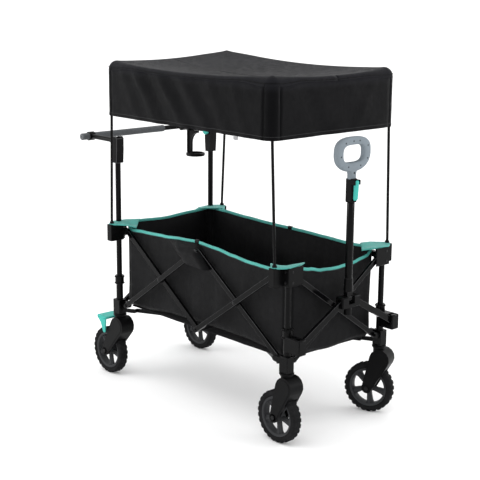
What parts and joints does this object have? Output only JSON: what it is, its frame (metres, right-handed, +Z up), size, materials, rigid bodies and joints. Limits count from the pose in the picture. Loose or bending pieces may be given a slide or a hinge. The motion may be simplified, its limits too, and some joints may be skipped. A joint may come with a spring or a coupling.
{
  "type": "kids pull wagon",
  "caption": "Folding pull wagon for children with a fabric basket, scissor-folding frame, canopy on poles, pull handle and push bar.",
  "frame": {"origin": "centre of the bounding box, on the ground the tyres stand on", "axes": "+X forwards, to the pull handle; +Y to the wagon's left; +Z up"},
  "size_m": [1.0879, 0.547, 1.13],
  "materials": {
    "black_steel": "satin black powder coat",
    "black_plastic": "fine-textured black nylon",
    "black_rubber": "matt black tread rubber",
    "rim_grey": "dark grey moulded plastic",
    "teal_plastic": "teal moulded plastic, semi-gloss",
    "grip_grey": "grey soft-touch plastic",
    "teal_binding": "teal woven binding tape",
    "canopy_fabric": "charcoal woven polyester",
    "basket_fabric": "black woven polyester with teal binding"
  },
  "bodies": {
    "rear_right_lower": {"lower_post_rear_right": "black_steel", "fork_rear_right": "black_plastic"},
    "rear_right_upper": {"upper_post_rear_right": "black_steel", "top_bracket_rear_right": "black_plastic", "canopy_pole_rear_right": "black_steel", "basket": "basket_fabric", "canopy": "canopy_fabric"},
    "rear_left_lower": {"lower_post_rear_left": "black_steel", "fork_rear_left": "black_plastic"},
    "rear_left_upper": {"upper_post_rear_left": "black_steel", "top_bracket_rear_left": "black_plastic", "canopy_pole_rear_left": "black_steel"},
    "front_right_lower": {"lower_post_front_right": "black_steel"},
    "front_right_upper": {"upper_post_front_right": "black_steel", "top_bracket_front_right": "black_plastic", "canopy_pole_front_right": "black_steel"},
    "front_left_lower": {"lower_post_front_left": "black_steel"},
    "front_left_upper": {"upper_post_front_left": "black_steel", "top_bracket_front_left": "black_plastic", "canopy_pole_front_left": "black_steel"},
    "side_bar_right_rear_rising": {"side_bar_right_rear_rising": "black_steel"},
    "side_bar_right_rear_falling": {"side_bar_right_rear_falling": "black_steel"},
    "side_bar_right_front_rising": {"side_bar_right_front_rising": "black_steel"},
    "side_bar_right_front_falling": {"side_bar_right_front_falling": "black_steel"},
    "side_bar_left_rear_rising": {"side_bar_left_rear_rising": "black_steel"},
    "side_bar_left_rear_falling": {"side_bar_left_rear_falling": "black_steel"},
    "side_bar_left_front_rising": {"side_bar_left_front_rising": "black_steel"},
    "side_bar_left_front_falling": {"side_bar_left_front_falling": "black_steel"},
    "end_bar_rear_rising": {"end_bar_rear_rising": "black_steel"},
    "end_bar_rear_falling": {"end_bar_rear_falling": "black_steel"},
    "end_bar_front_rising": {"end_bar_front_rising": "black_steel"},
    "end_bar_front_falling": {"end_bar_front_falling": "black_steel"},
    "floor_arm_rear_right": {"floor_arm_rear_right": "black_steel"},
    "floor_arm_rear_left": {"floor_arm_rear_left": "black_steel"},
    "floor_arm_front_right": {"floor_arm_front_right": "black_steel"},
    "floor_arm_front_left": {"floor_arm_front_left": "black_steel"},
    "yoke_arm_right": {"yoke_arm_right": "black_steel"},
    "yoke_arm_left": {"yoke_arm_left": "black_steel"},
    "yoke_hub": {"yoke_hub": "black_plastic"},
    "pull_outer": {"pull_outer_tube": "black_steel"},
    "pull_inner": {"pull_inner_tube": "black_steel", "pull_grip": "grip_grey"},
    "pull_trigger": {"pull_trigger": "teal_plastic"},
    "push_right": {"push_arm_right": "black_plastic"},
    "push_bar": {"push_bar": "grip_grey"},
    "push_left": {"push_arm_left": "black_plastic", "cup_holder": "black_plastic"},
    "push_button": {"push_button": "teal_plastic"},
    "wheel_rear_right": {"tyre_rear_right": "black_rubber", "rim_rear_right": "rim_grey"},
    "brake_right": {"brake_pedal_right": "teal_plastic"},
    "wheel_rear_left": {"tyre_rear_left": "black_rubber", "rim_rear_left": "rim_grey"},
    "brake_left": {"brake_pedal_left": "teal_plastic"},
    "wheel_front_right": {"tyre_front_right": "black_rubber", "rim_front_right": "rim_grey"},
    "caster_front_right": {"fork_front_right": "black_plastic"},
    "wheel_front_left": {"tyre_front_left": "black_rubber", "rim_front_left": "rim_grey"},
    "caster_front_left": {"fork_front_left": "black_plastic"}
  },
  "joints": [
    {"name": "fold", "type": "hinge", "parent": "rear_right_lower", "child": "side_bar_right_rear_rising", "pos_m": [-0.32725, -0.21, 0.268], "axis": [0, -1, 0], "range_deg": [0, 30], "deforming": ["canopy", "basket"]},
    {"name": "right_rear_cross", "type": "hinge", "parent": "side_bar_right_rear_rising", "child": "side_bar_right_rear_falling", "pos_m": [-0.13975, -0.21, 0.4], "axis": [0, -1, 0], "range_deg": [-60.01, 0]},
    {"name": "rear_right_top", "type": "hinge", "parent": "side_bar_right_rear_falling", "child": "rear_right_upper", "pos_m": [-0.32725, -0.21, 0.532], "axis": [0, -1, 0], "range_deg": [0, 30.01]},
    {"name": "right_top_middle", "type": "hinge", "parent": "side_bar_right_rear_rising", "child": "side_bar_right_front_falling", "pos_m": [0.04775, -0.21, 0.532], "axis": [0, -1, 0], "range_deg": [-60.01, 0]},
    {"name": "front_right_foot", "type": "hinge", "parent": "side_bar_right_front_falling", "child": "front_right_lower", "pos_m": [0.42275, -0.21, 0.268], "axis": [0, -1, 0], "range_deg": [0, 30.01]},
    {"name": "right_low_middle", "type": "hinge", "parent": "side_bar_right_rear_falling", "child": "side_bar_right_front_rising", "pos_m": [0.04775, -0.21, 0.268], "axis": [0, -1, 0], "range_deg": [0, 60.01]},
    {"name": "front_right_top", "type": "hinge", "parent": "side_bar_right_front_rising", "child": "front_right_upper", "pos_m": [0.42275, -0.21, 0.532], "axis": [0, -1, 0], "range_deg": [-30.01, 0]},
    {"name": "rear_low_corner", "type": "hinge", "parent": "rear_right_lower", "child": "end_bar_rear_rising", "pos_m": [-0.37225, -0.1875, 0.268], "axis": [1, 0, 0], "range_deg": [0, 30.01]},
    {"name": "rear_high_corner", "type": "hinge", "parent": "rear_right_upper", "child": "end_bar_rear_falling", "pos_m": [-0.37225, -0.1875, 0.532], "axis": [1, 0, 0], "range_deg": [-30.01, 0]},
    {"name": "front_low_corner", "type": "hinge", "parent": "front_right_lower", "child": "end_bar_front_rising", "pos_m": [0.46775, -0.1875, 0.268], "axis": [1, 0, 0], "range_deg": [0, 30.01]},
    {"name": "front_high_corner", "type": "hinge", "parent": "front_right_upper", "child": "end_bar_front_falling", "pos_m": [0.46775, -0.1875, 0.532], "axis": [1, 0, 0], "range_deg": [-30.01, 0]},
    {"name": "rear_left_top", "type": "hinge", "parent": "end_bar_rear_rising", "child": "rear_left_upper", "pos_m": [-0.37225, 0.1875, 0.532], "axis": [1, 0, 0], "range_deg": [-30.01, 0]},
    {"name": "rear_left_foot", "type": "hinge", "parent": "end_bar_rear_falling", "child": "rear_left_lower", "pos_m": [-0.37225, 0.1875, 0.268], "axis": [1, 0, 0], "range_deg": [0, 30.01]},
    {"name": "left_rear_low", "type": "hinge", "parent": "rear_left_lower", "child": "side_bar_left_rear_rising", "pos_m": [-0.32725, 0.21, 0.268], "axis": [0, -1, 0], "range_deg": [0, 30.01]},
    {"name": "left_top_middle", "type": "hinge", "parent": "side_bar_left_rear_rising", "child": "side_bar_left_front_falling", "pos_m": [0.04775, 0.21, 0.532], "axis": [0, -1, 0], "range_deg": [-60.01, 0]},
    {"name": "front_left_foot", "type": "hinge", "parent": "side_bar_left_front_falling", "child": "front_left_lower", "pos_m": [0.42275, 0.21, 0.268], "axis": [0, -1, 0], "range_deg": [0, 30.01]},
    {"name": "left_rear_high", "type": "hinge", "parent": "rear_left_upper", "child": "side_bar_left_rear_falling", "pos_m": [-0.32725, 0.21, 0.532], "axis": [0, -1, 0], "range_deg": [-30.01, 0]},
    {"name": "left_low_middle", "type": "hinge", "parent": "side_bar_left_rear_falling", "child": "side_bar_left_front_rising", "pos_m": [0.04775, 0.21, 0.268], "axis": [0, -1, 0], "range_deg": [0, 60.01]},
    {"name": "front_left_top", "type": "hinge", "parent": "side_bar_left_front_rising", "child": "front_left_upper", "pos_m": [0.42275, 0.21, 0.532], "axis": [0, -1, 0], "range_deg": [-30.01, 0]},
    {"name": "floor_arm_rear_right", "type": "hinge", "parent": "rear_right_lower", "child": "floor_arm_rear_right", "pos_m": [-0.3168, -0.18227, 0.246], "axis": [0.4472, -0.8944, 0], "range_deg": [0, 60.01]},
    {"name": "floor_arm_rear_left", "type": "hinge", "parent": "rear_left_lower", "child": "floor_arm_rear_left", "pos_m": [-0.3168, 0.18227, 0.246], "axis": [-0.4472, -0.8944, 0], "range_deg": [0, 60.01]},
    {"name": "floor_arm_front_right", "type": "hinge", "parent": "front_right_lower", "child": "floor_arm_front_right", "pos_m": [0.4123, -0.18227, 0.246], "axis": [0.4472, 0.8944, 0], "range_deg": [0, 60.01]},
    {"name": "floor_arm_front_left", "type": "hinge", "parent": "front_left_lower", "child": "floor_arm_front_left", "pos_m": [0.4123, 0.18227, 0.246], "axis": [-0.4472, 0.8944, 0], "range_deg": [0, 60.01]},
    {"name": "yoke_right", "type": "hinge", "parent": "front_right_lower", "child": "yoke_arm_right", "pos_m": [0.51775, -0.21, 0.324], "axis": [1, 0, 0], "range_deg": [0, 34.52]},
    {"name": "yoke_centre", "type": "hinge", "parent": "yoke_arm_right", "child": "yoke_hub", "pos_m": [0.51775, -0.027, 0.428], "axis": [1, 0, 0], "range_deg": [-34.52, 0]},
    {"name": "yoke_left", "type": "hinge", "parent": "front_left_lower", "child": "yoke_arm_left", "pos_m": [0.51775, 0.21, 0.324], "axis": [-1, 0, 0], "range_deg": [0, 34.52]},
    {"name": "pull_tilt", "type": "hinge", "parent": "yoke_hub", "child": "pull_outer", "pos_m": [0.51775, 0, 0.4365], "axis": [0, 1, 0], "range_deg": [0, 70]},
    {"name": "pull_extend", "type": "slide", "parent": "pull_outer", "child": "pull_inner", "axis": [0, 0, 1], "range_m": [0, 0.22]},
    {"name": "trigger", "type": "hinge", "parent": "pull_inner", "child": "pull_trigger", "pos_m": [0.53825, 0, 0.801], "axis": [0, 1, 0], "range_deg": [0, 6], "stiffness_Nm_per_rad": 0.5},
    {"name": "push_fold", "type": "hinge", "parent": "rear_right_upper", "child": "push_right", "pos_m": [-0.37225, -0.21, 0.843], "axis": [0, 1, 0], "range_deg": [-15, 75]},
    {"name": "push_fold_left", "type": "hinge", "parent": "rear_left_upper", "child": "push_left", "pos_m": [-0.37225, 0.21, 0.843], "axis": [0, 1, 0], "range_deg": [-15.1, 75.1]},
    {"name": "push_bar_slide", "type": "slide", "parent": "push_right", "child": "push_bar", "axis": [0, -1, 0], "range_m": [0, 0.1052]},
    {"name": "push_button", "type": "slide", "parent": "rear_left_upper", "child": "push_button", "axis": [0, 1, 0], "range_m": [0, 0.003], "stiffness_N_per_m": 200},
    {"name": "spin_rear_right", "type": "hinge", "parent": "rear_right_lower", "child": "wheel_rear_right", "pos_m": [-0.43025, -0.21, 0.084], "axis": [0, 1, 0], "continuous": true},
    {"name": "brake_right", "type": "hinge", "parent": "rear_right_lower", "child": "brake_right", "pos_m": [-0.42225, -0.21, 0.162], "axis": [0, -1, 0], "range_deg": [0, 15]},
    {"name": "spin_rear_left", "type": "hinge", "parent": "rear_left_lower", "child": "wheel_rear_left", "pos_m": [-0.43025, 0.21, 0.084], "axis": [0, 1, 0], "continuous": true},
    {"name": "brake_left", "type": "hinge", "parent": "rear_left_lower", "child": "brake_left", "pos_m": [-0.42225, 0.21, 0.162], "axis": [0, -1, 0], "range_deg": [0, 15]},
    {"name": "swivel_front_right", "type": "hinge", "parent": "front_right_lower", "child": "caster_front_right", "pos_m": [0.46775, -0.21, 0.2], "axis": [0, 0, 1], "continuous": true},
    {"name": "spin_front_right", "type": "hinge", "parent": "caster_front_right", "child": "wheel_front_right", "pos_m": [0.43875, -0.21, 0.084], "axis": [0, 1, 0], "continuous": true},
    {"name": "swivel_front_left", "type": "hinge", "parent": "front_left_lower", "child": "caster_front_left", "pos_m": [0.46775, 0.21, 0.2], "axis": [0, 0, 1], "continuous": true},
    {"name": "spin_front_left", "type": "hinge", "parent": "caster_front_left", "child": "wheel_front_left", "pos_m": [0.4405, 0.20008, 0.084], "axis": [-0.342, 0.9397, 0], "continuous": true}
  ],
  "couplings": [
    {"joint": "right_rear_cross", "follows": "fold", "ratio": -2},
    {"joint": "rear_right_top", "follows": "fold", "ratio": 1},
    {"joint": "right_top_middle", "follows": "fold", "ratio": -2},
    {"joint": "front_right_foot", "follows": "fold", "ratio": 1},
    {"joint": "right_low_middle", "follows": "fold", "ratio": 2},
    {"joint": "front_right_top", "follows": "fold", "ratio": -1},
    {"joint": "rear_low_corner", "follows": "fold", "ratio": 1},
    {"joint": "rear_high_corner", "follows": "fold", "ratio": -1},
    {"joint": "front_low_corner", "follows": "fold", "ratio": 1},
    {"joint": "front_high_corner", "follows": "fold", "ratio": -1},
    {"joint": "rear_left_top", "follows": "fold", "ratio": -1},
    {"joint": "rear_left_foot", "follows": "fold", "ratio": 1},
    {"joint": "left_rear_low", "follows": "fold", "ratio": 1},
    {"joint": "left_top_middle", "follows": "fold", "ratio": -2},
    {"joint": "front_left_foot", "follows": "fold", "ratio": 1},
    {"joint": "left_rear_high", "follows": "fold", "ratio": -1},
    {"joint": "left_low_middle", "follows": "fold", "ratio": 2},
    {"joint": "front_left_top", "follows": "fold", "ratio": -1},
    {"joint": "floor_arm_rear_right", "follows": "fold", "ratio": 2},
    {"joint": "floor_arm_rear_left", "follows": "fold", "ratio": 2},
    {"joint": "floor_arm_front_right", "follows": "fold", "ratio": 2},
    {"joint": "floor_arm_front_left", "follows": "fold", "ratio": 2},
    {"joint": "yoke_right", "follows": "fold", "ratio": 1.1503},
    {"joint": "yoke_centre", "follows": "fold", "ratio": -1.1503},
    {"joint": "yoke_left", "follows": "fold", "ratio": 1.1503},
    {"joint": "push_fold_left", "follows": "push_fold", "ratio": 1},
    {"joint": "push_bar_slide", "follows": "fold", "m_per_rad": 0.20054}
  ]
}
